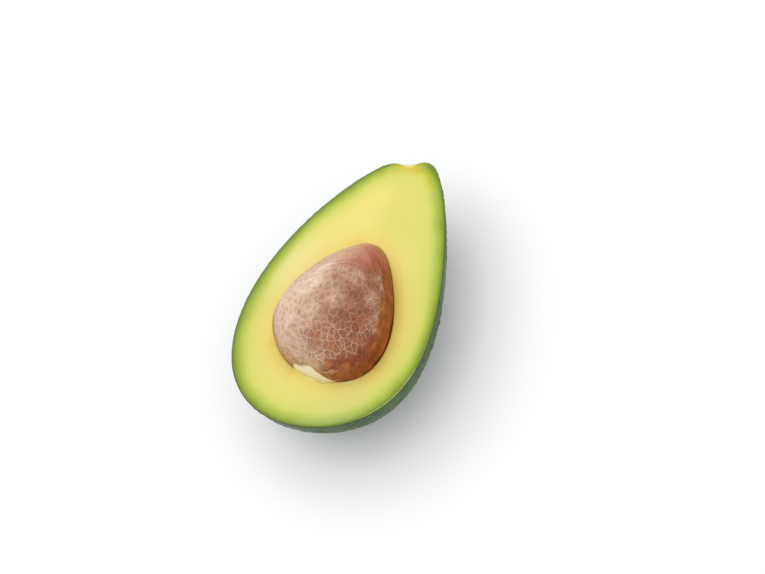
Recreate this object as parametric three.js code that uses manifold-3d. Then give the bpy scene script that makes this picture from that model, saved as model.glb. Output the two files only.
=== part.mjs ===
// Half of an avocado with its seed still in place, lying on its skin with the cut face up.
//
// The fruit is one pear-shaped surface, worked out by a formula. The skin is the layer between
// that surface and the same surface drawn in by the skin's thickness, the flesh is what lies
// inside it less the hollow of the seed, and a level knife cut through the middle halves both.
//
// Frame, in millimetres: +Z up through the cut face, +Y towards the stem end, +X to the right of
// the fruit as seen from above. The origin is on the surface that the half lies on, in the middle
// of the small flat spot that it rests on.

import * as THREE from "three";
import { mergeVertices } from "three/addons/utils/BufferGeometryUtils.js";
import Module from "manifold-3d";

const wasm = await Module();
wasm.setup();

// The whole fruit
const FRUIT_LENGTH = 113.5; // blossom end to stem end, before the stem hollow is sunk
const BELLY_RADIUS = 34.8; // half width half way along, before the taper
const TAPER = 0.35; // how much narrower the stem end is than the blossom end
const DEPTH_SHARE = 0.95; // the fruit is a little flatter than it is wide
const AXIS_LEAN = -0.8; // sideways lean of the core towards the stem end
const AXIS_BEND = 2.2; // sideways S bend of the core at both ends
const BLOSSOM_TILT = 0.06; // slope of the blossom end, lower on the left
const REST_DEPTH = 33.5; // from the cut face down to the spot that the half rests on
const MIDDLE_FROM_REST = 15.5; // from the resting spot's middle to half way along the fruit

// The stem end: a hollow, and in it the round scar that the stem left
const HOLLOW_ASIDE = -2.7; // the hollow's middle along X
const HOLLOW_DEPTH = 3.5;
const HOLLOW_SPREAD = 4.2;
const SCAR_RADIUS = 1.9;
const SCAR_TOP = 52.9; // from half way along the fruit
const SCAR_LENGTH = 6; // rooted this deep in the flesh
const SCAR_SIDES = 16;

// The skin
const SKIN_THICKNESS = 0.9;
const LAYER_GAP = 0.3; // between touching pieces
const PEBBLE_COUNT = 1000; // bumps on the whole fruit
const PEBBLE_RADIUS = 3.4;
const PEBBLE_HEIGHT = 0.5;
const PEBBLE_SEED = 7;
const STEM_RIDGES = 13; // ridges that run out from the stem hollow
const RIDGE_HEIGHT = 0.35;
const RIDGE_REACH = 34; // over this length they fade
const RIDGE_START = 5; // and over this one they rise from the hollow

// The seed, an egg with its narrow end towards the stem
const SEED_LENGTH = 55;
const SEED_RADIUS = 20.7; // half width half way along, before the taper
const SEED_TAPER = 0.36;
const SEED_ASIDE = 0.4;
const SEED_FROM_REST = 5.8; // from the resting spot's middle to the seed's middle, along Y
const VEIN_CELLS = 160; // meshes of the net of veins on its coat
const VEIN_HEIGHT = 0.45;
const VEIN_HALF_WIDTH = 1.3;
const VEIN_SEED = 3;
const NET_FULL = -0.1; // the net is full up to this share of the half length
const NET_END = 0.7; // and has faded here, towards the narrow end

// How many parts each edge of the starting icosahedron is split into, less one
const SKIN_DETAIL = 22;
const LAYER_DETAIL = 12;
const SEED_DETAIL = 15;
const CAVITY_DETAIL = 10;

// A repeatable run of random numbers from 0 to 1.
function seededRandom(seed) {
  let state = seed;
  return () => {
    state = (Math.imul(state, 1664525) + 1013904223) >>> 0;
    return state / 2 ** 32;
  };
}

// Directions spread evenly over a sphere along a spiral, each shifted a little at random.
function scatteredDirections(count, seed, shift) {
  const random = seededRandom(seed);
  const nudge = () => (random() - 0.5) * shift;
  const turn = Math.PI * (3 - Math.sqrt(5));
  return Array.from({ length: count }, (_, i) => {
    const height = 1 - (2 * i + 1) / count;
    const radius = Math.sqrt(1 - height ** 2);
    const x = radius * Math.cos(turn * i) + nudge();
    const y = height + nudge();
    const z = radius * Math.sin(turn * i) + nudge();
    return new THREE.Vector3(x, y, z).normalize();
  });
}

// The distances from a point to the nearest and the second nearest of some centres.
function twoNearest(point, centres) {
  let first = Infinity;
  let second = Infinity;
  for (const centre of centres) {
    const distance = point.distanceTo(centre);
    second = Math.min(second, Math.max(first, distance));
    first = Math.min(first, distance);
  }
  return [first, second];
}

// The point of the fruit's surface in a direction from its middle, drawn in by inset.
function fruitPoint(direction, inset) {
  const along = direction.y;
  const girth = (BELLY_RADIUS - inset) * (1 - TAPER * along);
  const x = girth * direction.x + AXIS_LEAN * along + AXIS_BEND * along ** 3;
  const z = girth * direction.z * DEPTH_SHARE;
  const y = (FRUIT_LENGTH / 2 - inset) * along;
  if (along < 0) return new THREE.Vector3(x, y + BLOSSOM_TILT * x * along ** 2, z);
  const offAxis = Math.hypot(x - HOLLOW_ASIDE, z) / HOLLOW_SPREAD;
  const sunk = HOLLOW_DEPTH * along * Math.exp(-(offAxis ** 2) / 2);
  return new THREE.Vector3(x, y - sunk, z);
}

// The fruit is pressed flat where it lies, and its layers with it.
function pressedFlat(point, inset) {
  point.z = Math.max(point.z, inset - REST_DEPTH);
  return point;
}

const layerPoint = (inset) => (direction) => pressedFlat(fruitPoint(direction, inset), inset);

// The skin's outer surface: the fruit's surface with low pebbles all over, and near the stem
// with ridges that run out from the hollow.
const pebbles = scatteredDirections(PEBBLE_COUNT, PEBBLE_SEED, 0.05).map((d) => fruitPoint(d, 0));

function stemRidge(point) {
  const aside = point.x - HOLLOW_ASIDE;
  const fade = Math.max(0, 1 - (FRUIT_LENGTH / 2 - point.y) / RIDGE_REACH);
  const rise = Math.min(1, Math.hypot(aside, point.z) / RIDGE_START);
  return RIDGE_HEIGHT * fade * rise * Math.sin(STEM_RIDGES * Math.atan2(point.z, aside));
}

function skinPoint(direction) {
  const point = fruitPoint(direction, 0);
  const [nearest] = twoNearest(point, pebbles);
  const pebble = PEBBLE_HEIGHT * (Math.max(0, 1 - (nearest / PEBBLE_RADIUS) ** 2) - 0.5);
  return pressedFlat(point.addScaledVector(direction, pebble + stemRidge(point)), 0);
}

// The seed's surface about its own middle, grown by some clearance.
function seedPoint(direction, grown) {
  const girth = (SEED_RADIUS + grown) * (1 - SEED_TAPER * direction.y);
  const y = (SEED_LENGTH / 2 + grown) * direction.y;
  return new THREE.Vector3(girth * direction.x, y, girth * direction.z);
}

// The seed's coat: a raised net of veins along the borders between scattered cells.
const cells = scatteredDirections(VEIN_CELLS, VEIN_SEED, 0.15).map((d) => seedPoint(d, 0));

function coatPoint(direction) {
  const point = seedPoint(direction, 0);
  const [nearest, second] = twoNearest(point, cells);
  const vein = Math.max(0, 1 - (second - nearest) / 2 / VEIN_HALF_WIDTH);
  const net = 1 - THREE.MathUtils.smoothstep(direction.y, NET_FULL, NET_END);
  return point.addScaledVector(direction, VEIN_HEIGHT * net * (vein - 1));
}

// A closed solid from a geometry's corners and faces alone.
function solid(geometry) {
  geometry.deleteAttribute("normal");
  geometry.deleteAttribute("uv");
  const merged = mergeVertices(geometry, 1e-5);
  const vertProperties = merged.getAttribute("position").array;
  const triVerts = new Uint32Array(merged.index.array);
  return new wasm.Manifold(new wasm.Mesh({ numProp: 3, vertProperties, triVerts }));
}

// A ball with its faces split, each corner moved to where place puts its direction.
function blob(detail, place) {
  const ball = new THREE.IcosahedronGeometry(1, detail);
  const position = ball.getAttribute("position");
  const direction = new THREE.Vector3();
  for (let i = 0; i < position.count; i++) {
    direction.fromBufferAttribute(position, i).normalize();
    position.setXYZ(i, ...place(direction));
  }
  return solid(ball);
}

// Everything above the level knife cut, as a block larger than the fruit.
function aboveTheCut() {
  const side = 2 * FRUIT_LENGTH;
  return solid(new THREE.BoxGeometry(side, side, side).translate(0, 0, side / 2));
}

// The scar of the stem, a short round plug that fills a hole in the skin.
function stemScar(grown) {
  const radius = SCAR_RADIUS + grown;
  const plug = new THREE.CylinderGeometry(radius, radius, SCAR_LENGTH, SCAR_SIDES);
  return solid(plug.translate(HOLLOW_ASIDE, SCAR_TOP - SCAR_LENGTH / 2, 0));
}

const seedAlong = SEED_FROM_REST - MIDDLE_FROM_REST;

function makeSkin() {
  const outside = blob(SKIN_DETAIL, skinPoint);
  const inside = blob(LAYER_DETAIL, layerPoint(SKIN_THICKNESS));
  return outside.subtract(inside).subtract(stemScar(LAYER_GAP)).subtract(aboveTheCut());
}

function makeFlesh() {
  const pulp = blob(LAYER_DETAIL, layerPoint(SKIN_THICKNESS + LAYER_GAP));
  const cavity = blob(CAVITY_DETAIL, (direction) => seedPoint(direction, LAYER_GAP));
  const placed = cavity.translate(SEED_ASIDE, seedAlong, 0);
  return pulp.add(stemScar(0)).subtract(placed).subtract(aboveTheCut());
}

function piece(name, made, colour, roughness) {
  const mesh = made.getMesh();
  const geometry = new THREE.BufferGeometry();
  geometry.setAttribute("position", new THREE.BufferAttribute(mesh.vertProperties, mesh.numProp));
  geometry.setIndex(new THREE.BufferAttribute(mesh.triVerts, 1));
  geometry.computeVertexNormals();
  const material = new THREE.MeshStandardMaterial({ color: colour, roughness, metalness: 0 });
  const shown = new THREE.Mesh(geometry, material);
  shown.name = name;
  return shown;
}

const skin = piece("skin", makeSkin(), 0x35502c, 0.5);
const flesh = piece("flesh", makeFlesh(), 0xe4dc82, 0.45);
const seed = piece("seed", blob(SEED_DETAIL, coatPoint), 0xa8705a, 0.5);
seed.position.set(SEED_ASIDE, seedAlong, 0);

// The layers and the seed are placed about the fruit's middle, which the cut goes through.
const avocado = new THREE.Group();
const half = new THREE.Group();
half.position.set(0, MIDDLE_FROM_REST, REST_DEPTH);
half.add(skin, flesh, seed);
avocado.add(half);

export default avocado;
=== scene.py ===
# %% [markdown]
# # Half an avocado with its stone
#
# The real thing has three pieces: a thin, leathery skin, the soft flesh, and the stone that
# rests in its hollow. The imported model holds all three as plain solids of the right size. They
# could be subdivided and sculpted by hand, but nobody could then say how. So this file works out
# a finer surface for each piece, from the same formulas as the solids, and gives it a finish.
# Nothing is moved or resized, so everything that the model promises stays true.

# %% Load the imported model
import math

import bpy
import numpy as np
from mathutils import Matrix, Vector


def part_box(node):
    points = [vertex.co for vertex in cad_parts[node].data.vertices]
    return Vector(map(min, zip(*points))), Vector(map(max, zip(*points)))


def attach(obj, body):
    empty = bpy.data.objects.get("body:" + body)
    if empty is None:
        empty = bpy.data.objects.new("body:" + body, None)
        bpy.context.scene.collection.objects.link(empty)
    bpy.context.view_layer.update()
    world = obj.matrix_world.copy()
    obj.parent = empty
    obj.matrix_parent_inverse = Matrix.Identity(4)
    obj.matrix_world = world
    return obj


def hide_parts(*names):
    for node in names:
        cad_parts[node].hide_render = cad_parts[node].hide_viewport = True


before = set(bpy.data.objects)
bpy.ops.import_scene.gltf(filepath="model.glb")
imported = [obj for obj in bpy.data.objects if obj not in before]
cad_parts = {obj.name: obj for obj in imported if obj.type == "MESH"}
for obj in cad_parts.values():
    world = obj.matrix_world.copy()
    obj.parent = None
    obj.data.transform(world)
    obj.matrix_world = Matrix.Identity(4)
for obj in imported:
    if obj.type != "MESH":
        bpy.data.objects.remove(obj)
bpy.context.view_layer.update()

# %% [markdown]
# ## The camera
#
# The photograph looks at the cut face from a little to one side. Three angles say how: how far
# the camera stands off the face's upright, towards which side of the picture, and which way the
# fruit's length runs in it. They give the picture's own right, up and back directions in the
# fruit's frame, which are the columns of the camera's matrix. Tracking a target would leave the
# camera's roll to chance.

# %% Camera
MM = 0.001
PICTURE = (765, 574)  # width and height in pixels
PIXELS_PER_MM = 2.743  # on the cut face
AIM_PIXEL = (336, 321)  # where the aim point below lies in the picture
AIM_MM = (0.25, 1.2)  # on the cut face
OFF_UPRIGHT = math.radians(28)
TOWARDS = math.radians(-57)
LENGTH_IN_PICTURE = math.radians(63)
LENS, SENSOR = 85, 36

cut_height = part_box("flesh")[1].z / MM


def picture_axes():
    """The picture's right, up and back directions in the fruit's frame.

    Seen by the camera, the face's upright leans away from the side the camera stands on. The
    fruit's length runs along its angle in the picture, tipped in depth until it lies in the face.
    """
    lean = math.sin(OFF_UPRIGHT)
    upright = Vector((-lean * math.cos(TOWARDS), -lean * math.sin(TOWARDS), math.cos(OFF_UPRIGHT)))
    length = Vector((math.cos(LENGTH_IN_PICTURE), math.sin(LENGTH_IN_PICTURE), 0))
    length.z = -length.dot(upright) / upright.z
    length.normalize()
    across = length.cross(upright)
    return Matrix((across, length, upright)).transposed()


def place_camera():
    """Puts the aim point at its pixel, at the distance where a millimetre has its pixels."""
    axes = picture_axes()
    distance = PICTURE[0] / PIXELS_PER_MM / SENSOR * LENS
    aside = (AIM_PIXEL[0] - PICTURE[0] / 2) / PIXELS_PER_MM
    below = (AIM_PIXEL[1] - PICTURE[1] / 2) / PIXELS_PER_MM
    eye = Vector((*AIM_MM, cut_height)) + axes.transposed() @ Vector((-aside, below, distance))
    camera = bpy.data.objects.new("camera", bpy.data.cameras.new("camera"))
    camera.data.lens = LENS
    camera.data.sensor_width = SENSOR
    camera.matrix_world = Matrix.Translation(eye * MM) @ axes.transposed().to_4x4()
    bpy.context.scene.collection.objects.link(camera)
    bpy.context.scene.camera = camera
    return axes, eye


view_axes, eye_mm = place_camera()
picture_right, picture_up, picture_back = (Vector(row) for row in view_axes)
print("camera at", tuple(round(value) for value in eye_mm), "mm")

# %% [markdown]
# ## One helper for every surface
#
# Skin, stone and flesh are all closed like a ball. Each could start as a sphere with modifiers,
# but on a grid of points the whole form is one formula: rows run along the surface from one
# pole to the other, and columns go round. One helper turns any such grid into a mesh, with a
# fan of triangles at each pole. It also stores numbers on the points, such as how far each lies
# from the skin. The finishes read those later, which keeps a pattern and the relief it belongs
# to in one place.

# %% Grid to mesh
def flat_list(grid):
    """A grid's values in the order of the mesh's points: pole, inner rows, pole."""
    inner = grid[1:-1].reshape(-1, *grid.shape[2:])
    return np.concatenate([grid[:1, 0], inner, grid[-1:, 0]])


def ball_faces(rows, columns):
    """The quads between a grid's inner rows, and the fans of triangles at its two poles."""
    index = 1 + np.arange((rows - 2) * columns).reshape(rows - 2, columns)
    beside = np.roll(index, -1, axis=1)
    quads = np.stack([index[:-1], index[1:], beside[1:], beside[:-1]], axis=-1).reshape(-1, 4)
    first = np.stack([np.zeros_like(index[0]), index[0], beside[0]], axis=-1)
    last = np.stack([np.full_like(index[0], index.max() + 1), beside[-1], index[-1]], axis=-1)
    return quads, np.concatenate([first, last])


def closed_mesh(name, grid, **marks):
    """A closed mesh over a grid of points in millimetres, with a value per point for each mark."""
    quads, fans = ball_faces(*grid.shape[:2])
    points = flat_list(grid) * MM
    mesh = bpy.data.meshes.new(name)
    mesh.from_pydata(points.tolist(), [], quads.tolist() + fans.tolist())
    for mark, values in marks.items():
        kind, field = ("FLOAT_VECTOR", "vector") if values.ndim > 2 else ("FLOAT", "value")
        stored = mesh.attributes.new(mark, kind, "POINT")
        stored.data.foreach_set(field, flat_list(values).ravel().astype(np.float32))
    mesh.shade_smooth()
    piece = bpy.data.objects.new(name, mesh)
    bpy.context.scene.collection.objects.link(piece)
    print(name, 2 * len(quads) + len(fans), "triangles,", np.ptp(grid, axis=(0, 1)).round(1), "mm")
    return piece


def facing(grid):
    """The outward direction at each point: the cross product of the grid's two directions."""
    up = np.gradient(grid, axis=0)
    around = np.roll(grid, -1, axis=1) - np.roll(grid, 1, axis=1)
    outward = np.cross(up, around)
    return outward / np.maximum(np.linalg.norm(outward, axis=-1, keepdims=True), 1e-9)


# %% [markdown]
# ## Unevenness that repeats exactly
#
# Nothing that grew is quite even. Pictures could bring that in, but formulas stay sharp at any
# size and have no seam. Three are enough. Sine waves in random directions, added up, are soft
# unevenness. Scattered centres make cells, because each point belongs to the nearest one. A
# bell curve about a direction is one soft round spot. Every random draw has its seed, so each
# run gives the same fruit.

# %% Steps, bells and spots
def ease(value, low, high):
    """0 at low and 1 at high, with a soft climb between them."""
    share = np.clip((value - low) / (high - low), 0, 1)
    return share * share * (3 - 2 * share)


def bump_at(value, width):
    """A bell curve: 1 at 0, and nearly 0 at twice the width."""
    return np.exp(-((value / width) ** 2))


def away(points, middle):
    """The distance of each point from a place."""
    return np.linalg.norm(points - np.array(middle), axis=-1)


def near(direction, middle, width):
    """A soft round spot about a direction, 1 in its middle."""
    return bump_at(away(direction, np.array(middle) / np.linalg.norm(middle)), width)


# %% Waves
def waves(points, wavelength, seed, count=24):
    """Soft unevenness, mostly from -1 to 1: sine waves of about this length, added together."""
    random = np.random.default_rng(seed)
    heading = random.normal(size=(3, count))
    heading /= np.linalg.norm(heading, axis=0) * wavelength * random.uniform(0.7, 1.4, count)
    turns = points @ heading + random.uniform(0, 1, count)
    return np.sin(2 * np.pi * turns).sum(axis=-1) / math.sqrt(count)


def wandering(points, wavelength, seeds, reach=0.5):
    """The points, each shifted a little by waves, so that straight lines between them bend."""
    return points + reach * np.stack([waves(points, wavelength, seed) for seed in seeds], axis=-1)


# %% Cells
NEIGHBOURS = 6  # centres that can share a border with the nearest one


def scattered(count, seed, shift):
    """Directions along an even spiral over the ball, each shifted at random."""
    random = np.random.default_rng(seed)
    step = np.arange(count)
    height = 1 - (2 * step + 1) / count
    around = np.pi * (3 - math.sqrt(5)) * step
    radius = np.sqrt(1 - height**2)
    spiral = np.stack([radius * np.cos(around), height, radius * np.sin(around)], axis=-1)
    spiral += random.uniform(-shift, shift, spiral.shape)
    return spiral / np.linalg.norm(spiral, axis=-1, keepdims=True)


def cells(points, centres):
    """For each point: the way to its cell's centre and to the cell's border, and which cell it is.

    The border towards another centre is the plane half way between the two. Its distance is the
    difference of the squared distances over twice the gap, and the least of them counts. The
    points are taken in parts, to save memory.
    """
    found = []
    for part in np.array_split(points.reshape(-1, 3), 150):
        square = (part**2).sum(1)[:, None] + (centres**2).sum(1) - 2 * part @ centres.T
        closest = np.argpartition(square, NEIGHBOURS, axis=1)[:, :NEIGHBOURS]
        order = np.take_along_axis(square, closest, 1).argsort(1)
        closest = np.take_along_axis(closest, order, 1)
        square = np.take_along_axis(square, closest, axis=1)
        gap = np.linalg.norm(centres[closest[:, 1:]] - centres[closest[:, :1]], axis=-1)
        border = ((square[:, 1:] - square[:, :1]) / (2 * gap)).min(axis=1)
        to_centre = np.sqrt(np.maximum(square[:, 0], 0))
        found.append(np.column_stack([to_centre, border, closest[:, 0]]))
    to_centre, to_border, own = np.concatenate(found).T.reshape(3, *points.shape[:-1])
    return to_centre, to_border, own.astype(int)


# %% [markdown]
# ## The form of the fruit
#
# A pear form needs no sculpting. Take a direction on a ball, stretch it to the fruit's length,
# and make its girth shrink evenly towards the stem end. A slight S bend of the core, a tilt of
# the blossom end and a hollow for the stem make it a fruit. The inset draws the surface in,
# which gives the layers under the skin. All of it is in millimetres about the middle of the
# fruit, and the half lies on a spot that it presses flat.

# %% Sizes of the fruit
FRUIT_LENGTH = 113.5
BELLY_RADIUS = 34.8
TAPER = 0.35
DEPTH_SHARE = 0.95
AXIS_LEAN = -0.8
AXIS_BEND = 2.2
BLOSSOM_TILT = 0.06
MIDDLE_FROM_REST = 15.5
HOLLOW_ASIDE = -2.7
HOLLOW_DEPTH = 3.5
HOLLOW_SPREAD = 4.2
SKIN_THICKNESS = 0.9
SCAR_RADIUS = 1.9
SCAR_DEPTH = 0.55  # by which the skin is drawn in under the scar

stem_point = np.array([HOLLOW_ASIDE, FRUIT_LENGTH / 2 - HOLLOW_DEPTH, 0])
fruit_place = np.array([0, MIDDLE_FROM_REST, cut_height])
print("the fruit's middle is at", fruit_place.round(2), "mm")


# %% Pear formula
def pear(direction, inset):
    """The fruit's surface in a direction from its middle, drawn in by inset.

    Half the length times the direction's y gives the place along the fruit. The girth is the
    belly's radius, less the taper times y. The hollow is a bell curve round the scar.
    """
    x, y, z = np.moveaxis(direction, -1, 0)
    girth = (BELLY_RADIUS - inset) * (1 - TAPER * y)
    aside = girth * x + AXIS_LEAN * y + AXIS_BEND * y**3
    depth = girth * z * DEPTH_SHARE
    along = (FRUIT_LENGTH / 2 - inset) * y
    off_axis = np.hypot(aside - HOLLOW_ASIDE, depth) / HOLLOW_SPREAD
    hollow = HOLLOW_DEPTH * y * np.exp(-(off_axis**2) / 2)
    along = along + np.where(y < 0, BLOSSOM_TILT * aside * y**2, -hollow)
    return np.stack([aside, along, depth], axis=-1)


def downward(turn, dip):
    """Directions that turn round the upright and dip below the level by an angle."""
    turn, dip = np.broadcast_arrays(turn, dip)
    return np.stack([np.cos(dip) * np.sin(turn), np.cos(dip) * np.cos(turn), -np.sin(dip)], axis=-1)


def pressed_flat(points, inset):
    """The points, with none lower than the level that the half lies on, or inset above it."""
    points[..., 2] = np.maximum(points[..., 2], inset - cut_height)
    return points


def on_scar(points):
    """1 on the round scar of the stem, 0 off it, and a soft edge."""
    off_axis = np.hypot(points[..., 0] - HOLLOW_ASIDE, points[..., 2])
    return np.where(points[..., 1] > 0, ease(off_axis, SCAR_RADIUS + 2.5, SCAR_RADIUS - 0.7), 0)


# %% [markdown]
# ## The skin
#
# The skin is leathery and less than a millimetre thick. Its relief could be a bump in the
# material, but then the outline would stay smooth, so it is real geometry: pebbles, many with a
# pit in the middle, wrinkles, swellings, and folds that run out from the stem. It fades at the
# cut, at the stem and on one side, where the real skin is smoother. A Solidify modifier could
# give the wall, but the knife has to cut it dead level. So one grid goes up the outside, over
# the cut edge and back down the inside.

# %% Skin relief
PEBBLES = 2500  # on the whole fruit
PEBBLE_HEIGHT = 0.5
PIT_DEPTH = 0.45
PIT_WIDTH = 0.6
WRINKLE_HEIGHT = 0.42
SWELLING_HEIGHT = 0.12
FOLDS = 13
FOLD_HEIGHT = 0.4
FOLD_REACH = 40
FOLD_WANDER = 0.22  # in radians

pebble_centres = pear(scattered(PEBBLES, 11, 0.028), 0)
pebble_chance = np.random.default_rng(12).uniform(0, 1, PEBBLES)


def folds(points):
    """Ridges that run out from the stem: a sine round the hollow, which fades along the fruit."""
    aside = points[..., 0] - HOLLOW_ASIDE
    around = np.arctan2(points[..., 2], aside) + FOLD_WANDER * waves(points, 16, 7)
    reach = ease(points[..., 1], FRUIT_LENGTH / 2 - FOLD_REACH, FRUIT_LENGTH / 2)
    rise = ease(np.hypot(aside, points[..., 2]), 1, 6)
    return FOLD_HEIGHT * reach * rise * np.sin(FOLDS * around)


def skin_relief(points):
    """How far the skin stands out at each point, how much of a pit it is, and how raised it is.

    Wrinkles are narrow ridges: they stand where a slow wave passes through nought.
    """
    to_centre, to_border, own = cells(wandering(points, 6, (1, 2, 3)), pebble_centres)
    rough = 0.45 + 0.55 * ease(waves(points, 24, 4), -1, 0.7)
    chance = pebble_chance[own]
    pebble = (0.4 + 0.6 * chance) * (ease(to_border, 0, 1.0) - 0.5)
    wrinkle = bump_at(waves(points, 5.0, 6), 0.35) - 0.35
    pit = ease(chance, 0.45, 0.7) * rough * bump_at(to_centre, PIT_WIDTH)
    raised = rough * (PEBBLE_HEIGHT * pebble + WRINKLE_HEIGHT * wrinkle)
    raised = raised + SWELLING_HEIGHT * rough * waves(points, 2.6, 8)
    relief = raised + SWELLING_HEIGHT * waves(points, 12, 5) - PIT_DEPTH * pit + folds(points)
    return relief, pit, raised


# %% Skin surfaces
SKIN_COLUMNS = 680
OUTER_ROWS = 126
INNER_ROWS = 14
QUIET_SIDE = (0.75, -0.6, -0.3)  # in this direction the skin is smoother
QUIET_SHARE = 0.65  # by which the relief is lower there
CALM_DEPTH = 7  # below the cut, where the relief is full


def skin_outside(turn):
    """The smooth pear with its relief, the pits, the rise, and the scar's share on the cut."""
    direction = downward(turn, np.linspace(np.pi / 2, 0, OUTER_ROWS)[:, None])
    smooth = pressed_flat(pear(direction, 0), 0)
    relief, pit, raised = skin_relief(smooth)
    relief *= 1 - QUIET_SHARE * near(direction, QUIET_SIDE, 0.75)
    scar = on_scar(smooth)
    by_the_cut = 0.2 + 0.8 * ease(-smooth[..., 2], 0, CALM_DEPTH)
    by_the_stem = ease(away(smooth, stem_point), 3, 9)
    stands_out = relief * by_the_cut * by_the_stem - scar * SCAR_DEPTH
    outside = smooth + facing(smooth) * stands_out[..., None]
    return pressed_flat(outside, 0), pit, raised, scar[-1]


def skin_inside(turn):
    """The pear drawn in by the skin's thickness, and further under the scar, from the cut down."""
    direction = downward(turn, np.linspace(0, np.pi / 2, INNER_ROWS)[:, None])
    inset = SKIN_THICKNESS + SCAR_DEPTH * on_scar(pear(direction, 0))
    return pressed_flat(pear(direction, inset), SKIN_THICKNESS)


# %% Skin mesh
EDGE_SHARES = np.array([0.15, 0.5, 0.85])  # rows across the cut edge
EDGE_DROP = 0.08  # by which the outer corner of the edge lies lower
HIGHLIGHT_EDGE, HIGHLIGHT_REACH = (34, -32, 0), 16  # where the cut edge has a painted highlight, and how far
BROWN_EDGE, BROWN_REACH = (-16, -53, 0), 22  # and where it has dried brown


def make_skin():
    """The outside from its lowest point up to the cut, the cut edge, and the inside back down."""
    turn = np.linspace(0, 2 * np.pi, SKIN_COLUMNS, endpoint=False)
    outside, pit, raised, scar = skin_outside(turn)
    inside = skin_inside(turn)
    edge = outside[-1] + (inside[0] - outside[-1]) * EDGE_SHARES[:, None, None]
    grid = np.concatenate([outside, edge, inside])
    grid[..., 2] = np.minimum(grid[..., 2], -SCAR_DEPTH * scar)
    grid[OUTER_ROWS - 1, :, 2] -= EDGE_DROP
    depth = SKIN_THICKNESS * np.concatenate([np.zeros(OUTER_ROWS), EDGE_SHARES, np.ones(INNER_ROWS)])
    unseen = ((0, len(grid) - OUTER_ROWS), (0, 0))
    from_scar = away(grid, stem_point)
    drawn_in = ease(from_scar, 9, 4) * ease(grid[..., 2], -1.4, -0.4)
    return closed_mesh(
        "avocado_skin", grid + fruit_place, depth=np.tile(depth[:, None], SKIN_COLUMNS),
        pit=np.pad(pit, unseen), rise=np.pad(raised, unseen),
        stem=np.maximum(drawn_in, 0.6 * ease(from_scar, 4.5, 2.4)),
        pale=bump_at(away(grid, HIGHLIGHT_EDGE), HIGHLIGHT_REACH),
        brown=bump_at(away(grid, BROWN_EDGE), BROWN_REACH))


skin = make_skin()

# %% [markdown]
# ## The stone
#
# The stone is an egg with its narrow end towards the stem, a little fuller on one side. Its
# papery coat carries a net of pale veins, finer than any mesh worth having, so the finish draws
# it. A ball has no map without a seam, and a seam would cut the net. So the coat is laid out
# flat from the top, and only the hidden bottom of that sheet is torn. The grid's poles are at
# the bottom and the top too, and most of its rows lie where the stone shows.

# %% Egg formula
SEED_LENGTH = 55
SEED_RADIUS = 20.7
SEED_TAPER = 0.36
SEED_ASIDE = 0.4
SEED_FROM_REST = 5.8
FULL_SIDE = (0.68, -0.73, 0)  # in this direction the stone is a little fuller than an egg
FULL_SPREAD = 0.45
FULLNESS = 0.024
NET_LENGTHENING = 1.4  # the meshes of the net are this much longer along the stone

seed_place = np.array([SEED_ASIDE, SEED_FROM_REST, cut_height])
print("the stone's middle is at", seed_place.round(2), "mm")


def egg(direction, grown):
    """The stone's surface: half its length along, and a girth that shrinks evenly to one end.

    A bell curve about its full side lets it swell there by a small share.
    """
    x, y, z = np.moveaxis(direction, -1, 0)
    girth = (SEED_RADIUS + grown) * (1 - SEED_TAPER * y)
    points = np.stack([girth * x, (SEED_LENGTH / 2 + grown) * y, girth * z], axis=-1)
    fuller = 1 + FULLNESS * bump_at(away(direction, FULL_SIDE), FULL_SPREAD)
    return points * fuller[..., None]


def sheet(direction):
    """The coat laid out flat, in millimetres, for the pattern of its net.

    Each point keeps its heading from the top of the stone, and its arc from the top becomes a
    straight distance. Shrinking the length a little makes the meshes drawn on it longer.
    """
    arc = np.arccos(np.clip(direction[..., 2], -1, 1))
    heading = np.arctan2(direction[..., 0], direction[..., 1])
    across = SEED_RADIUS * arc * np.sin(heading)
    along = SEED_LENGTH / 2 * arc * np.cos(heading) / NET_LENGTHENING
    return np.stack([across, along, 0 * arc], axis=-1)


# %% [markdown]
# ## Regions of the coat
#
# The coat differs from place to place. It could be painted by hand, but a picture has a fixed
# size. Here each region is a formula of the direction from the stone's middle, with a ragged
# edge from the waves. Small ones are soft round spots, kept in a table: how strong each is, in
# which direction its middle lies, and how wide it is.

# %% Spots on the coat
SPOTS = {
    "flushed": [(1, (0.5, 0.66, 0.56), 0.34)],  # redder skin on the narrow end
    "fuzz": [(1, (0.9, -0.18, 0.39), 0.08), (1, (0.88, 0, 0.48), 0.08), (1, (0.72, 0.16, 0.67), 0.12),
             (1, (0.78, 0.4, 0.48), 0.05), (1, (0.68, 0.5, 0.53), 0.05)],  # frayed bits of film
    "pale": [(1, (-0.32, 0.31, 0.9), 0.14), (0.7, (-0.34, 0, 0.94), 0.2),
             (0.35, (-0.25, -0.62, 0.74), 0.3), (0.4, (-0.15, -0.86, 0.48), 0.25),
             (0.25, (-0.6, -0.25, 0.75), 0.35)],  # pale streaks in the film; the first two spots are a painted highlight
    "dark": [(0.7, (0.51, 0.11, 0.85), 0.12), (1, (0.73, -0.04, 0.68), 0.12)],  # dark blots
    "umber": [(1, (0.52, -0.42, 0.75), 0.24), (0.6, (0.14, -0.61, 0.78), 0.06)],  # no film here
    "worn": [(0.25, (0.12, -0.76, 0.64), 0.3)],  # a little less film here
    "tan": [(1, (0.16, -0.92, 0.36), 0.12)],  # a dry, light spot over the patch
    "wrinkled": [(1, (-0.26, -0.91, 0.3), 0.16), (0.8, (0.37, -0.91, 0.2), 0.15)],
    "rusty": [(1, (0.13, -0.6, 0.79), 0.1), (0.85, (0.56, -0.47, 0.68), 0.2),
              (0.8, (0.52, -0.82, 0.23), 0.16)],
    "netted": [(0.65, (0.5, -0.62, 0.58), 0.42), (0.35, (0.8, 0, 0.6), 0.3),
               (0.45, (0.12, -0.76, 0.64), 0.32)],  # where the net is strongest
}


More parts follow.
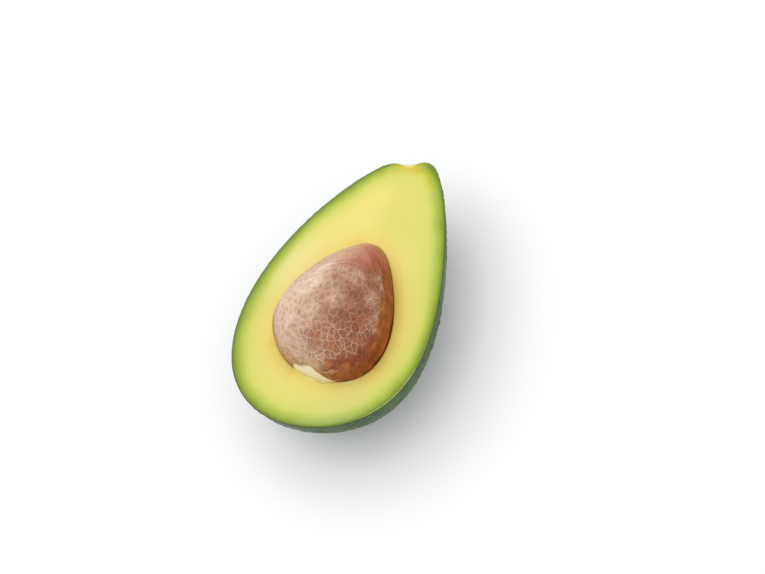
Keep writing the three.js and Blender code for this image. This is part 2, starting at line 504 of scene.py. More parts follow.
# %% Large regions of the coat
def bare_margin(direction, ragged):
    """The glossy part without film: low on the right, and lower still along the left and back."""
    x, y, z = np.moveaxis(direction, -1, 0)
    right = ease(0.3 + 0.16 * x - 0.1 * y + ragged - z, -0.08, 0.1) * ease(x - 0.35 * y, 0.1, 0.5)
    left_top = 0.16 + 0.34 * ease(-x - 0.15 * y, 0.4, 0.8)
    left = 0.8 * ease(left_top + 0.5 * ragged - z, -0.04, 0.08) * ease(-x, 0.1, 0.3)
    return np.maximum(right, left)


def cream_patch(direction, ragged):
    """Where the coat has torn away: low at the blunt end, under a slanting top edge."""
    x, y, z = np.moveaxis(direction, -1, 0)
    top = 0.33 - 0.5 * np.maximum(0, 0.06 - x) - 1.1 * np.maximum(0, x - 0.1)
    top = top - 3 * np.maximum(0, -0.17 - x)
    patch = ease(top + 0.3 * ragged - z, -0.02, 0.05) * ease(-y, 0.86, 0.94)
    return patch * ease(z, -0.3, -0.1)


def thin_arcs(direction, ragged, slow):
    """Two thin arcs across the stone where the smooth cap begins, which come and go."""
    x, y, z = np.moveaxis(direction, -1, 0)
    arcs = bump_at(y - 0.57 + 0.9 * (x - 0.12) ** 2 + 0.2 * ragged, 0.018)
    arcs = arcs + bump_at(y - 0.5 + 0.9 * (x - 0.2) ** 2 - 0.2 * ragged, 0.014)
    return arcs * ease(z, 0, 0.3) * ease(slow, -0.8, 0.6) * ease(x, -0.4, -0.1)


# %% All marks of the coat
def coat(direction, points):
    """The marks on the stone's coat, mostly from 0 to 1.

    The film is thick on the left and thins out to the right, partly the real veil and partly
    painted light, paler on the lit left and darker towards the shaded right. The veins fade on
    the cap, which is the narrow end, and on the bare margin, and they end at the patch.
    """
    x, y, z = np.moveaxis(direction, -1, 0)
    slow = waves(points, 9, 28)
    ragged = 0.07 * waves(points, 9, 25) + 0.045 * waves(points, 2.6, 26)
    mark = {name: sum(strength * near(direction, middle, width) for strength, middle, width in rows)
            for name, rows in SPOTS.items()}
    strong = 0.35 + mark.pop("netted") + 0.5 * mark["fuzz"]
    for name in ("fuzz", "dark", "umber", "wrinkled"):
        mark[name] = np.clip(mark[name], 0, 1)
    bare = bare_margin(direction, ragged)
    patch = cream_patch(direction, ragged)
    cap = ease(y - 0.3 * x + 0.9 * ragged, 0.26, 0.55)
    veined = strong * (0.75 + 0.25 * ease(slow, -0.5, 0.5)) * (1 - 0.9 * cap) * (1 - 0.85 * bare)
    veined = veined * (1 - patch) * (1 - 0.7 * mark["dark"]) * (1 - 0.3 * mark["umber"])
    # painted light: the film is laid thicker and paler on the lit left side
    film_and_light = np.clip(0.63 - 0.95 * x + 0.14 * slow, 0, 1) * (0.85 + 0.15 * ease(y, -0.7, -0.3))
    film_and_light = film_and_light * (1 - 0.75 * cap * ease(x, -0.15, 0.3)) * (1 - 0.8 * mark["umber"])
    film_and_light = film_and_light * (1 - 0.8 * mark["dark"]) * (1 - mark.pop("worn"))
    for name in ("tan", "wrinkled"):
        mark[name] = mark[name] * (1 - patch)
    return dict(
        mark, bare=bare * (1 - patch), cap=cap, patch=patch, film_and_light=film_and_light,
        arcs=thin_arcs(direction, ragged, slow), grained=ease(y, -0.55, -0.1),
        veined=np.clip(veined, 0, 1), under=ease(z, -0.1, -0.4))


# %% Stone mesh
SEED_COLUMNS = 550
HIDDEN_DIPS = np.linspace(90, 8, 20)  # in degrees, below the cut
SHOWN_DIPS = np.linspace(7.4, -90, 160)
DENT_DEPTH = 0.16
SMALL_DENT_DEPTH = 0.07
PATCH_DEPTH = 0.2
ARC_DEPTH = 0.06
COAT_SHRINKAGE = 0.05


def make_seed():
    """The egg with its relief, which fades towards the cut so that the stone fits its hollow."""
    turn = np.linspace(0, 2 * np.pi, SEED_COLUMNS, endpoint=False)
    dip = np.radians(np.concatenate([HIDDEN_DIPS, SHOWN_DIPS]))[:, None]
    direction = downward(turn, dip)
    points = egg(direction, 0)
    marks = coat(direction, points)
    relief = DENT_DEPTH * waves(points, 17, 29)
    relief = relief + SMALL_DENT_DEPTH * waves(points, 6, 30) * (1 - marks["cap"])
    relief = relief - PATCH_DEPTH * marks["patch"] - ARC_DEPTH * marks["arcs"] - COAT_SHRINKAGE
    relief = relief * ease(np.abs(direction[..., 2]), 0, 0.3)
    grid = points + facing(points) * relief[..., None]
    return closed_mesh("avocado_seed", grid + seed_place, sheet=sheet(direction) * MM, **marks)


seed = make_seed()

# %% [markdown]
# ## The flesh
#
# The flesh is cut flat and holds the hollow of the stone. A Boolean could cut both, but it
# leaves long, thin triangles on the very face that shows most. One grid does better: it starts
# under the skin at the bottom, climbs the side, crosses the cut face to the rim of the hollow
# and goes down its wall. On the cut face each column is a straight line from the skin to the
# stone, and the distance from either colours ripe flesh.

# %% Side and hollow
FLESH_COLUMNS = 560
SIDE_ROWS = 26
SIDE_DIPS = np.linspace(np.pi / 2, 0, SIDE_ROWS)[:, None]
OVERLAP = 0.05  # of the flesh and the skin
SCAR_INSET = 0.3  # from the fruit's surface to the flesh at the scar
CLEARANCE = 0.01  # between the stone and the wall of its hollow
GAP_SIDE = (0.98, -0.2, 0)  # in this direction the stone has come loose
GAP_SPREAD = 0.5
SIDE_GAP = 0.5  # by this much


def flesh_side(turn):
    """The pear drawn in to the skin's inner surface, and less so at the scar of the stem."""
    layer = downward(turn, SIDE_DIPS)
    scar = on_scar(pear(layer, 0))
    inset = (1 - scar) * (SKIN_THICKNESS - OVERLAP) + scar * SCAR_INSET
    return pressed_flat(pear(layer, inset), SKIN_THICKNESS) + fruit_place


def matching_turn(outline):
    """Turns of the egg whose rim points lie on the lines from the stone's middle to an outline."""
    turn = np.linspace(-1, 2 * np.pi + 1, 4001)
    rim = egg(downward(turn, 0.0), CLEARANCE)
    rim_angle = np.unwrap(np.arctan2(rim[:, 0], rim[:, 1]))
    angle = np.unwrap(np.arctan2(outline[:, 0], outline[:, 1]))
    return np.interp(angle, rim_angle, turn)


def hollow_wall(outline):
    """The stone's egg grown by the clearance, and by a gap on one side, from the rim down."""
    turn = matching_turn(outline[:, :2] - seed_place[:2])
    wall = downward(turn, SIDE_DIPS[::-1])
    return egg(wall, CLEARANCE + SIDE_GAP * bump_at(away(wall, GAP_SIDE), GAP_SPREAD)) + seed_place


# %% Distances on the cut face
# About these places, across and along, the green is thinner by a share, over a reach
THIN_GREEN = ((-26, 30, 0.4, 24), (35, 8, 0.45, 15), (16, -36, 0.15, 14), (-14, 60, 0.25, 8))


def distance_to(points, line):
    """The distance on the cut face from each point to the nearest of a line's points."""
    parts = np.array_split(points[..., :2].reshape(-1, 1, 2), 60)
    found = [np.linalg.norm(part - line[:, :2], axis=-1).min(axis=1) for part in parts]
    return np.concatenate(found).reshape(points.shape[:2])


def ripe_distance(face, rim):
    """The distance from the skin, stretched where the green is thinner, as the colour reads it."""
    from_skin = distance_to(face, rim)
    for *middle, share, reach in THIN_GREEN:
        from_skin *= 1 + share * bump_at(away(rim[:, :2], middle), reach)
    return from_skin


# %% Scrap and crease
SCRAP = ((-4, -26.9), (2.6, -29.6), (10, -26.6))  # outline of a scrap, from the stone's middle
CREASE_WIDTH = 0.22


def beside_line(points, start, end):
    """How far each point lies to the left of a line, and its distance from the line's stretch."""
    start, end = np.array(start), np.array(end)
    way = (end - start) / np.linalg.norm(end - start)
    along = (points - start) @ way
    left = (points - start) @ np.array([-way[1], way[0]])
    return left, np.hypot(left, along - np.clip(along, 0, np.linalg.norm(end - start)))


def scrap_and_crease(face):
    """A scrap of the coat between two lines and the stone, and the crease along those lines."""
    places = wandering(face, 5, (43, 44, 45))[..., :2] - seed_place[:2]
    left_of_first, by_first = beside_line(places, *SCRAP[:2])
    left_of_second, by_second = beside_line(places, *SCRAP[1:])
    scrap = ease(np.minimum(left_of_first, left_of_second), -0.3, 0.7)
    scrap = scrap * ease(face[..., 1] - seed_place[1], -22, -24)
    crease = bump_at(by_second, CREASE_WIDTH) * ease(face[..., 0], 1, 6)
    return scrap, crease + 0.15 * bump_at(by_first, CREASE_WIDTH)


# %% [markdown]
# ## Marks of the flesh
#
# Ripe flesh differs from place to place: strands run from the stone to the stem, the shoulder
# by the stem is olive, and some parts are creamy, bleached or golden, the golden part with
# painted shade of the stone in it. Painted shade also darkens one side and the bottom. As on
# the stone, formulas stay sharper than paint would. Places are in millimetres across and
# along, from the middle of the spot that the half rests on.

# %% Marks of the flesh
FLECKS = ((-6, 33), (-19, -15), (-6, -22.6), (-9, 31))  # small, deeper yellow spots
FLECK_RADIUS = 1.3
SHOULDER = (6.5, 68.5)  # olive
BLEACHED = (16, -36)
CREAMY = (-27, 15)
CLEAN_RIM = (-2, -21)  # here the rim of the hollow is not stained
SCAR_ASIDE = HOLLOW_ASIDE + 0.6


def spot(x, y, middle, width, lengthening=1):
    """A soft spot on the cut face, which may be longer than it is wide."""
    return bump_at(np.hypot(x - middle[0], (y - middle[1]) / lengthening), width)


def flesh_marks(grid):
    """The marks by the place, and the distance from the scar, which counts less across."""
    x, y = grid[..., 0], grid[..., 1]
    stone_end = seed_place[1] + SEED_LENGTH / 2
    towards_stem = ease(y, stone_end - 4, stem_point[1] + fruit_place[1] - 8)
    core = bump_at(x - HOLLOW_ASIDE * towards_stem, 6 - 3 * towards_stem)
    # painted shade: darker on the right of the neck, at the bottom and to the right of the stone
    painted_shade = np.clip(1.3 * ease(x, -8, 3) * ease(y, 25, 45) + 0.6 * ease(y, -8, -30), 0, 1.5)
    return dict(
        from_scar=np.linalg.norm((grid - fruit_place - stem_point) * (0.7, 1, 1), axis=-1),
        core=core * ease(y, stone_end - 6, stone_end),
        painted_shade=np.maximum(painted_shade, 0.6 * ease(x, 5, 25)),
        flecks=sum(spot(x, y, middle, FLECK_RADIUS) for middle in FLECKS),
        olive=spot(x, y, SHOULDER, 5, 1.3),
        bleached=spot(x, y, BLEACHED, 12),
        creamy=spot(x, y, CREAMY, 13),
        # golden flesh by the stone's lower right, partly painted shade of the stone
        golden_and_shade=ease(x, 7, 17) * ease(y, -22, -8),
        scar=ease(np.abs(x - SCAR_ASIDE), 2.4, 1.0) * ease(y, 60, 64),
        stain=1 - spot(x, y, CLEAN_RIM, 9))


# %% Flesh mesh
FACE_SHARES = np.linspace(0, 1, 70)[1:-1, None, None]
KNIFE_WAVES = 0.05  # how uneven the knife left the face
LIP_DROP = 0.06  # by which the flesh dips at the stone
CREASE_DEPTH = 0.12
FAR = 20  # stands for any distance that no colour reaches


def make_flesh():
    """The side under the skin, the cut face and the hollow, in one grid from pole to pole."""
    turn = np.linspace(0, 2 * np.pi, FLESH_COLUMNS, endpoint=False)
    side = flesh_side(turn)
    rim = side[-1]
    hollow = hollow_wall(rim)
    face = rim + (hollow[0] - rim) * FACE_SHARES
    from_skin = ripe_distance(face, rim)
    from_stone = distance_to(face, hollow[0])
    scrap, crease = scrap_and_crease(face)
    uneven = waves(face, 16, 41) + 0.4 * waves(face, 4, 42) - 1.8
    lip = LIP_DROP * (0.25 + 0.75 * ease(hollow[0, :, 0], -12, 12))
    face[..., 2] += KNIFE_WAVES * uneven * ease(from_skin, 0, 2)
    face[..., 2] -= lip * ease(from_stone, 0.7, 0) ** 2 + CREASE_DEPTH * crease
    hollow[0, :, 2] -= 1.5 * lip
    grid = np.concatenate([side, face, hollow])
    zero = np.zeros(side.shape[:2])
    outside = np.ones(grid.shape[:2])
    outside[SIDE_ROWS - 1 :] = 0
    return closed_mesh(
        "avocado_flesh", grid, outside=outside,
        from_skin=np.concatenate([zero, from_skin, zero + FAR]),
        from_stone=np.concatenate([zero + FAR, from_stone, zero]),
        scrap=np.concatenate([zero, scrap, zero]), crease=np.concatenate([zero, crease, zero]),
        **flesh_marks(grid))


flesh = make_flesh()

# %% [markdown]
# ## Finishes
#
# A finish is a network of nodes: patterns and stored numbers go in on the left and reach the
# shader on the right. It could be wired by hand in the editor, but with a small class, one
# method for each kind of node, it reads like a recipe. Patterns read Object coordinates, in
# metres, so they stay in the piece wherever it goes. Colours are written as they look on a
# screen.

# %% Wiring
def light_value(red, green, blue):
    """A screen colour from 0 to 255 as the amounts of light it stands for."""
    part = [c / 255 for c in (red, green, blue)]
    return tuple(c / 12.92 if c < 0.04045 else ((c + 0.055) / 1.055) ** 2.4 for c in part) + (1,)


class Wiring:
    """A material whose nodes are put in and linked one by one."""

    def __init__(self, name):
        self.material = bpy.data.materials.new(name)
        self.material.use_nodes = True
        self.tree = self.material.node_tree
        self.shader = self.tree.nodes["Principled BSDF"]
        self.place = self.node("TexCoord", {}).outputs["Object"]

    def put(self, socket, value):
        """Links a node's output, or a mark by its name, to a socket, or sets a plain value."""
        if isinstance(value, str):
            value = self.mark(value)
        if isinstance(value, bpy.types.NodeSocket):
            self.tree.links.new(value, socket)
        else:
            socket.default_value = value

    def node(self, kind, inputs, **settings):
        """A new node with its settings, and a value or a link for each input that is named."""
        node = self.tree.nodes.new("ShaderNode" + kind)
        for name, value in settings.items():
            setattr(node, name, value)
        for socket, value in inputs.items():
            self.put(node.inputs[socket], value)
        return node

    def mark(self, name, output="Fac"):
        """A value that is stored on the mesh's points."""
        return self.node("Attribute", {}, attribute_name=name).outputs[output]

    def wear(self, piece, **sockets):
        """Sets the shader's sockets by name and puts the material on a piece."""
        for socket, value in sockets.items():
            self.put(self.shader.inputs[socket.replace("_", " ")], value)
        piece.data.materials.append(self.material)
        print(self.material.name, "is made of", len(self.tree.nodes), "nodes")


# %% Arithmetic and colour
class Palette(Wiring):
    """The steps that turn numbers into other numbers, colours and fine relief."""

    def between(self, value, low, high, to_low=0.0, to_high=1.0):
        """Carries a value's range over to another one, with soft ends."""
        inputs = dict(enumerate((value, low, high, to_low, to_high)))
        return self.node("MapRange", inputs, interpolation_type="SMOOTHSTEP").outputs["Result"]

    def sum(self, kind, first, second):
        """First and second joined by one step of arithmetic."""
        return self.node("Math", {0: first, 1: second}, operation=kind).outputs["Value"]

    def product(self, *values):
        """All the values multiplied."""
        result = values[0]
        for value in values[1:]:
            result = self.sum("MULTIPLY", result, value)
        return result

    def ramp(self, value, *stops):
        """A colour that follows a value from 0 to 1 through stops of place and colour."""
        node = self.node("ValToRGB", {"Fac": value})
        elements = node.color_ramp.elements
        while len(elements) < len(stops):
            elements.new(0.5)
        for element, (where, colour) in zip(elements, stops):
            element.position = where
            element.color = light_value(*colour)
        return node.outputs["Color"]

    def layers(self, colour, *coats):
        """Coats laid over a first colour in turn, each given as its share and its colour."""
        for share, coat_colour in coats:
            pair = (light_value(*c) if isinstance(c, tuple) else c for c in (colour, coat_colour))
            inputs = dict(zip((0, 6, 7), (share, *pair)))
            colour = self.node("Mix", inputs, data_type="RGBA").outputs[2]
        return colour

    def bump(self, height, depth_mm, under=None):
        """Fine relief from a height of 0 to 1, on top of an earlier one if there is one."""
        inputs = {"Height": height, "Distance": depth_mm * MM}
        if under:
            inputs["Normal"] = under
        return self.node("Bump", inputs).outputs["Normal"]


# %% Patterns
class Finish(Palette):
    """The patterns, with sizes in millimetres."""

    def noise(self, size_mm, seed, detail=3.0, stretch=(1, 1, 1)):
        """Soft noise from 0 to 1 with blotches of about this size, longer by each stretch."""
        longer = self.node("Mapping", {"Vector": self.place, "Scale": [1 / part for part in stretch]})
        inputs = {"Vector": longer.outputs["Vector"], "Scale": 1 / (size_mm * MM), "W": float(seed),
                  "Detail": detail}
        return self.node("TexNoise", inputs, noise_dimensions="4D").outputs["Fac"]

    def bent(self, where, size_mm, amount_mm):
        """Places shifted by soft noise, so that straight lines through them bend."""
        noise = self.node("TexNoise", {"Vector": where, "Scale": 1 / (size_mm * MM)})
        inputs = {0: noise.outputs["Color"], 1: [2 * amount_mm * MM] * 3, 2: where}
        return self.node("VectorMath", inputs, operation="MULTIPLY_ADD").outputs["Vector"]

    def net(self, where, size_mm, width_mm, dimensions="2D"):
        """The borders between scattered cells, from 0 to 1, and a random number for each cell."""
        inputs = {"Vector": where, "Scale": 1 / (size_mm * MM)}
        to_border, own = (self.node("TexVoronoi", inputs, voronoi_dimensions=dimensions, feature=feature)
                          for feature in ("DISTANCE_TO_EDGE", "F1"))
        width = width_mm / size_mm
        border = self.between(to_border.outputs["Distance"], width, 0.2 * width)
        return border, self.between(own.outputs["Color"], 0, 1)

    def dots(self, spacing_mm, radius_mm):
        """1 in the middle of scattered dots, falling to 0 at their radius."""
        node = self.node("TexVoronoi", {"Vector": self.place, "Scale": 1 / (spacing_mm * MM)})
        radius = radius_mm / spacing_mm
        return self.between(node.outputs["Distance"], radius, 0.4 * radius)


# %% [markdown]
# ## Finish of the flesh
#
# Ripe flesh is butter yellow and turns green towards the skin. Rings of colour could be drawn,
# but a ramp that follows the stored distance is simpler, and a little noise shifts it so that
# the bands are not drawn with a compass. Over it lie flecks, the strands of the core and dots
# in the green, then the tinted parts, and last the edges: the scar of the stem, the stained rim
# of the hollow, and a scrap of the stone's coat with a crease, whose shadow is painted in.

# %% Ripe colour
GREEN_REACH = 12  # over this many millimetres from the skin the green goes over to yellow


def ripe_colour(look):
    """Green to yellow by the distance from the skin, with painted shade on one side and at the bottom."""
    drift = look.between(look.noise(9, 1), 0.25, 0.75, -0.4, 0.5)
    reach = look.sum("ADD", "from_skin", drift)
    reach = look.sum("ADD", reach, look.between("from_scar", 10, 3, 0, 2.4))
    ripe = look.ramp(
        look.product(reach, 1 / GREEN_REACH), (0.0, (124, 144, 44)), (0.05, (133, 154, 44)),
        (0.12, (152, 172, 53)), (0.21, (170, 185, 66)), (0.3, (185, 196, 80)),
        (0.39, (198, 203, 92)), (0.48, (208, 208, 101)), (0.67, (217, 212, 110)),
        (1.0, (227, 215, 119)))
    # painted shade laid over the ripe colour
    painted_shade = look.product("painted_shade", 0.6, look.between(reach, 3, 8))
    warm = look.product(look.between("from_stone", 9, 0), look.noise(6, 2))
    return look.layers(ripe, (painted_shade, (210, 207, 104)), (warm, (232, 204, 100)))


def speckled(look, ripe):
    """Flecks, strands, dots and ochre in the green, and the stain of the stem."""
    faint = look.between(look.noise(2.2, 3), 0.6, 0.8, 0, 0.25)
    flecks = look.product("flecks", look.noise(0.8, 8), 1.1)
    strand = look.between(look.noise(1.1, 5, 2.0, (1, 12, 1)), 0.48, 0.72)
    strands = look.product(strand, 0.3, "core")
    in_green = look.product(look.between("from_skin", 4.5, 3.2), look.between("from_skin", 1.8, 2.4))
    dots = look.product(look.dots(3.1, 0.5), in_green, 0.4)
    ochre = look.product(
        in_green, look.between("from_scar", 16, 5), look.between(look.noise(2.5, 9), 0.4, 0.6), 0.6)
    uneven = look.sum("ADD", "from_scar", look.between(look.noise(3, 6), 0.3, 0.7, -0.5, 0.5))
    stained = look.between(uneven, 5.5, 2, 0, 0.85)
    return look.layers(
        ripe, (faint, (226, 198, 84)), (flecks, (234, 196, 70)), (strands, (222, 194, 80)),
        (dots, (206, 172, 62)), (ochre, (204, 178, 58)), (stained, (216, 190, 62)))


# %% Tints and edges of the flesh
def tinted(look, colour):
    """The parts of the cut face that have a tint of their own, the golden one with painted shade."""
    shoulder = look.ramp(
        look.product("from_skin", 0.2), (0.1, (110, 124, 6)), (0.35, (150, 161, 8)),
        (0.7, (186, 185, 34)), (1.0, (202, 196, 58)))
    olive = look.product("olive", look.between("from_skin", 7, 3.5), 0.85)
    bleached = look.product("bleached", 0.3)
    creamy = look.product("creamy", look.between("from_skin", 3, 7), 0.25)
    # darker gold beside the stone: partly its own tint, partly painted shade of the stone
    golden_and_shade = look.product("golden_and_shade", look.between("from_stone", 5, 0.2), 0.42)
    return look.layers(
        colour, (olive, shoulder), (bleached, (196, 204, 136)), (creamy, (244, 236, 190)),
        (golden_and_shade, (196, 162, 30)))


def edged(look, colour):
    """The scar and its dry outside, the rim of the hollow, the scrap, and the crease's painted shadow."""
    scar = look.product("scar", look.between("from_skin", 1.3, 0.4), 0.7)
    dry = look.ramp(look.noise(0.9, 10), (0.0, (138, 104, 58)), (1.0, (206, 182, 124)))
    outside = look.product("outside", look.between("from_scar", 5, 3.5))
    at_stone = look.between("from_stone", 0.45, 0.05, 0, 0.5)
    return look.layers(
        colour, (scar, (232, 226, 170)), (outside, dry),
        (look.product(at_stone, "stain"), (176, 136, 74)),
        (look.product("scrap", 0.7), (238, 226, 158)),
        # painted shadow in the crease
        (look.product("crease", 0.6), (150, 118, 62)))


def flesh_finish():
    """The colours, an uneven moist gloss, and a little light passing through."""
    look = Finish("flesh")
    colour = edged(look, tinted(look, speckled(look, ripe_colour(look))))
    gloss = look.between(look.noise(7, 7), 0.35, 0.65, 0.4, 0.55)
    look.wear(
        flesh, Base_Color=colour, Roughness=gloss, Subsurface_Weight=0.12,
        Subsurface_Radius=(1.0, 0.75, 0.3), Subsurface_Scale=1.5 * MM, Specular_IOR_Level=0.3,
        Normal=look.bump(look.noise(0.45, 4, 2.0), 0.03))


flesh_finish()

# %% [markdown]
# ## Finish of the skin
#
# The outside is dark green, darker in the pits, with pale dots for its pores. Shade is painted
# darker into the hollows and a highlight is painted lighter onto the pebbles. Noise alone could
# mottle it, but the stored height and pits put each tone where the relief has it. On the cut
# edge the stored depth makes the green lighter, in one place a painted highlight makes it pale,
# in another it is brown, and by the stem it is yellow-green.

# %% Skin finish
def skin_outer_colour(look):
    """Mottled dark green, with painted shade low, a painted highlight on top, pits and pores."""
    mottle = look.between(look.noise(1.6, 13), 0.45, 0.75, 0, 0.4)
    # painted shade in the hollows of the relief
    low = look.between("rise", -0.05, -0.35, 0, 0.6)
    # painted highlight on the pebble tops
    top = look.between("rise", 0, 0.45, 0, 0.3)
    pit = look.between("pit", 0.1, 0.8, 0, 0.85)
    pore = look.product(look.dots(1.9, 0.24), 0.3)
    green = look.ramp(
        look.between(look.noise(16, 11), 0.3, 0.7), (0.0, (40, 64, 22)), (0.5, (50, 77, 28)),
        (1.0, (64, 92, 36)))
    return look.layers(
        green, (mottle, (38, 58, 24)), (low, (30, 46, 18)), (top, (86, 116, 52)),
        (pit, (30, 32, 22)), (pore, (134, 152, 72)))


def skin_edge_colour(look):
    """The cut edge, lighter with depth, with a painted highlight in one place and brown in another."""
    green = look.ramp(
        look.between("depth", 0, SKIN_THICKNESS), (0.0, (78, 86, 34)), (0.28, (96, 112, 36)),
        (0.5, (114, 136, 38)), (1.0, (120, 142, 40)))
    outer = look.product(look.between("depth", 0.02, 0.1), look.between("depth", 0.55, 0.35))
    # painted highlight along the outer corner of the cut edge
    pale = look.product(outer, "pale", look.noise(2, 14), 1.2)
    brown = look.product(outer, "brown")
    return look.layers(green, (pale, (200, 196, 120)), (brown, (118, 88, 48)))


def skin_finish():
    """The outside going over to the edge in depth, waxy, with two sizes of fine relief."""
    look = Finish("skin")
    colour = look.layers(
        skin_outer_colour(look), (look.between("depth", 0.0, 0.05), skin_edge_colour(look)),
        (look.product("stem", 0.95), (172, 176, 68)))
    grain = look.bump(look.noise(0.45, 12, 4.0), 0.06)
    look.wear(
        skin, Base_Color=colour, Roughness=0.36, Specular_IOR_Level=0.24,
        Normal=look.bump(look.noise(1.5, 15, 2.0), 0.3, grain),
        Specular_Tint=light_value(190, 255, 225))


skin_finish()

# %% [markdown]
# ## Finish of the stone
#
# The coat's colours are laid on in the order in which they lie: red-brown cells, each in its
# own tone, and the smooth, pink cap; the film, a pale, dry veil that is thinner inside the
# cells and lies thicker on the lit left, partly as painted light; pale streaks, some of them a
# painted highlight; the glossy margin where the coat is bare; the wrinkles, the rust, the veins
# and the cream patch. A photograph could be wrapped round the stone, but it would stretch at
# the ends.
# The net is a pattern on the coat's sheet instead, and where the sheet is torn, under the
# stone, one in three dimensions takes over.

# %% Net of the stone
NET = (2.2, 0.18)  # millimetres from vein to vein, and the width of a vein
BESIDE_VEIN = (2.2, 1.0)
DEEP_NET = (2.6, 0.16)
THREADS = (1.2, 0.1)  # finer ones in the cells


def net_of_veins(look):
    """How much of a vein each place is, how near one, and a tone for each cell."""
    laid_out = look.bent(look.bent(look.mark("sheet", "Vector"), 4, 0.8), 0.9, 0.2)
    flat, tone = look.net(laid_out, *NET)
    beside, _ = look.net(laid_out, *BESIDE_VEIN)
    deep, _ = look.net(look.bent(look.place, 3, 0.5), *DEEP_NET, "3D")
    thread, _ = look.net(look.bent(laid_out, 1.2, 0.4), *THREADS)
    above = look.product(flat, look.between("under", 0, 1, 1, 0))
    vein = look.sum("ADD", above, look.product(deep, "under"))
    vein = look.product(vein, look.between(look.noise(3, 26), 0.35, 0.6, 0.25, 1))
    drawn = look.sum("MAXIMUM", vein, look.product(thread, 0.45))
    return look.product(drawn, "veined"), beside, tone


# %% Colours under the film
def cell_colour(look, tone, soft, blotch):
    """Red-brown, darker in spots, and in the net a tone for each cell."""
    shade = look.sum("ADD", look.product(tone, "veined", 0.35), blotch)
    brown = look.ramp(
        look.between(shade, 0.3, 0.9), (0.0, (118, 60, 32)), (0.5, (144, 80, 46)),
        (1.0, (174, 106, 70)))
    tint = look.ramp(tone, (0.0, (146, 74, 62)), (0.5, (146, 82, 50)), (1.0, (170, 90, 40)))
    umber = look.product("umber", look.between(soft, 0.35, 0.6, 0.65, 1))
    return look.layers(
        brown, (umber, (120, 58, 22)), (look.product("dark", 0.8), (128, 66, 40)),
        (look.product("veined", 0.5), tint))


def cap_colour(look, broad, streaks):
    """Pink on the narrow end, redder where it is flushed, with lighter streaks across."""
    even = look.between(broad, 0.3, 0.7)
    paler = look.ramp(even, (0.0, (168, 92, 66)), (1.0, (186, 112, 84)))
    redder = look.ramp(even, (0.0, (130, 52, 28)), (1.0, (170, 82, 52)))
    return look.layers(
        paler, ("flushed", redder), (look.between(streaks, 0.4, 0.65, 0, 0.3), (194, 122, 88)))


# %% Film and margin
def film_share(look, beside_vein, fine, blotch):
    """How much the film hides at each place, from 0 to 1."""
    thick = look.between(blotch, 0.36, 0.62, look.between("film_and_light", 0.6, 1, 0.5, 0.68), 0.98)
    thick = look.product(thick, look.between(beside_vein, 0, 1, 0.68, 1.12))
    frayed = look.product("fuzz", fine, 0.8)
    share = look.sum("MAXIMUM", look.product("film_and_light", thick), frayed)
    return look.product(share, look.between("cap", 0, 1, 1, 0.75))


def margin_colour(look, broad, streaks):
    """Glossy orange brown in broad blotches, with a level grain on its upper part."""
    glossy = look.ramp(
        look.between(broad, 0.34, 0.66), (0.0, (114, 45, 13)), (0.45, (137, 61, 16)),
        (0.75, (150, 70, 20)), (1.0, (174, 90, 36)))
    grain = look.product("grained", look.between(streaks, 0.4, 0.65, 0, 0.45))
    return look.layers(glossy, (grain, (172, 96, 40)))


# %% Stone finish
def seed_finish():
    """All the coat's colours in their order, glossier on the bare margin, the veins raised."""
    look = Finish("seed_coat")
    vein, beside_vein, tone = net_of_veins(look)
    fine = look.noise(0.8, 21, 4.0)
    soft = look.noise(1.7, 24, 2.0, (1, 2.2, 1))
    streaks = look.noise(1.0, 22, 3.0, (5, 5, 1))
    broad = look.noise(2.6, 28, 3.0, (1, 1.6, 1))
    blotch = look.product(look.sum("ADD", soft, fine), 0.5)
    # pale streaks, the upper-left ones a painted highlight
    pale = look.product("pale", look.between(streaks, 0.3, 0.7), 0.85)
    rust = look.product("rusty", look.between(blotch, 0.44, 0.56), 0.6)
    wrinkle = look.ramp(
        look.between(look.noise(0.6, 25, 3.0, (4, 4, 1)), 0.38, 0.62), (0.0, (112, 52, 28)),
        (0.5, (168, 92, 54)), (1.0, (222, 186, 148)))
    pulp = look.layers((232, 216, 176), (look.noise(1.5, 27), (250, 240, 208)))
    colour = look.layers(
        cell_colour(look, tone, soft, blotch), ("cap", cap_colour(look, broad, streaks)),
        (film_share(look, beside_vein, fine, blotch), (213, 182, 156)), (pale, (236, 216, 202)),
        (look.product("arcs", 0.75), (146, 80, 62)), ("bare", margin_colour(look, broad, streaks)),
        (look.product("wrinkled", 0.85), wrinkle), (rust, (166, 82, 24)),
        (look.product(vein, 0.95), (226, 196, 162)), (look.product("tan", 0.7), (206, 180, 138)),
        ("patch", pulp))
    height = look.sum("ADD", vein, look.product(streaks, 0.12))
    look.wear(seed, Base_Color=colour, Roughness=look.between("bare", 0, 1, 0.48, 0.32),
              Specular_IOR_Level=0.28, Normal=look.bump(height, 0.1, look.bump(fine, 0.03)))


seed_finish()
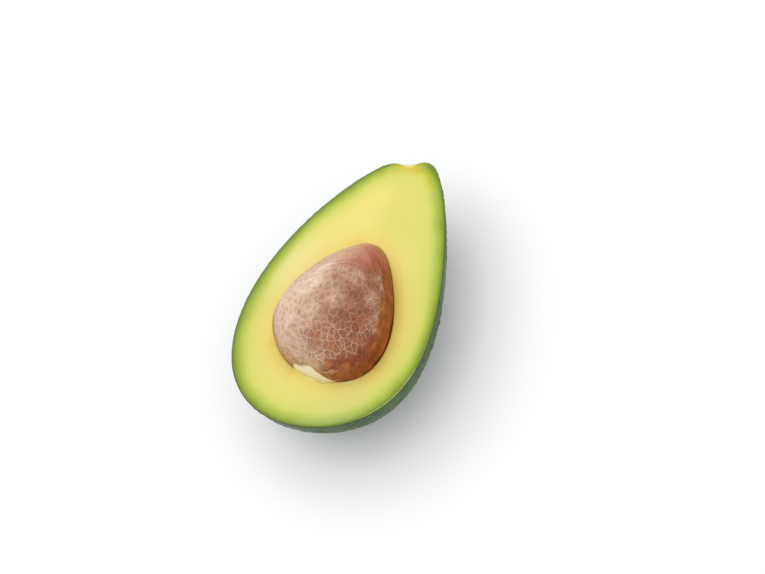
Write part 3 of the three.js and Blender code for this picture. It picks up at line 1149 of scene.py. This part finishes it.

# %% [markdown]
# ## Riding, and standing for the plain solids
#
# The half has no moving parts. Each new piece is told which body it belongs to, and the plain
# solid that it stands for is hidden. Deleting the solids by hand would not say what took their
# place.

# %% Ride and replace
for piece, node, slot in ((skin, "skin", "skin"), (flesh, "flesh", "flesh"), (seed, "seed", "seed_coat")):
    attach(piece, "root")
    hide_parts(node)
    print(piece.name, "stands for", node)

# %% [markdown]
# ## Floor and light
#
# A product photograph on white has a pale floor, a bright even surround and one large soft
# light, here from the picture's upper left. Several lamps could do it too, with more to tune.
# The light is placed by the picture's own directions, so the shading matches however the fruit
# is turned.

# %% Stage
FLOOR_SIZE = 60
FLOOR_DROP = 0.0001  # under the spot that the half rests on
KEY_PLACE = (-0.55, 0.65, 0.8)  # from the fruit, along the picture's right, up and back
KEY_SIZE = 1.3
KEY_POWER = 5.7
SURROUND_STRENGTH = 0.89


def make_floor():
    """A wide pale floor just under the spot that the half rests on."""
    bpy.ops.mesh.primitive_plane_add(size=FLOOR_SIZE, location=(0, 0, -FLOOR_DROP))
    floor = bpy.context.object
    floor.name = "floor"
    look = Finish("floor")
    pale = look.layers((246, 246, 247), (look.noise(400, 31), (249, 249, 249)))
    look.wear(floor, Base_Color=pale, Roughness=0.9)


def make_key_light():
    """A large square light, aimed at the fruit."""
    rightward, upward, backward = KEY_PLACE
    offset = picture_right * rightward + picture_up * upward + picture_back * backward
    lamp = bpy.data.lights.new("key", "AREA")
    lamp.size = KEY_SIZE
    lamp.energy = KEY_POWER
    holder = bpy.data.objects.new("key", lamp)
    holder.location = Vector(fruit_place) * MM + offset
    holder.rotation_euler = (-offset).to_track_quat("-Z", "Y").to_euler()
    bpy.context.scene.collection.objects.link(holder)
    print("key light", round(offset.length, 2), "m from the fruit")


def make_surround():
    """An even, nearly white surround."""
    world = bpy.data.worlds.new("surround")
    world.use_nodes = True
    background = world.node_tree.nodes["Background"]
    background.inputs["Color"].default_value = (0.98, 0.99, 1.0, 1)
    background.inputs["Strength"].default_value = SURROUND_STRENGTH
    bpy.context.scene.world = world


make_floor()
make_key_light()
make_surround()
bpy.context.scene.view_settings.view_transform = "Standard"
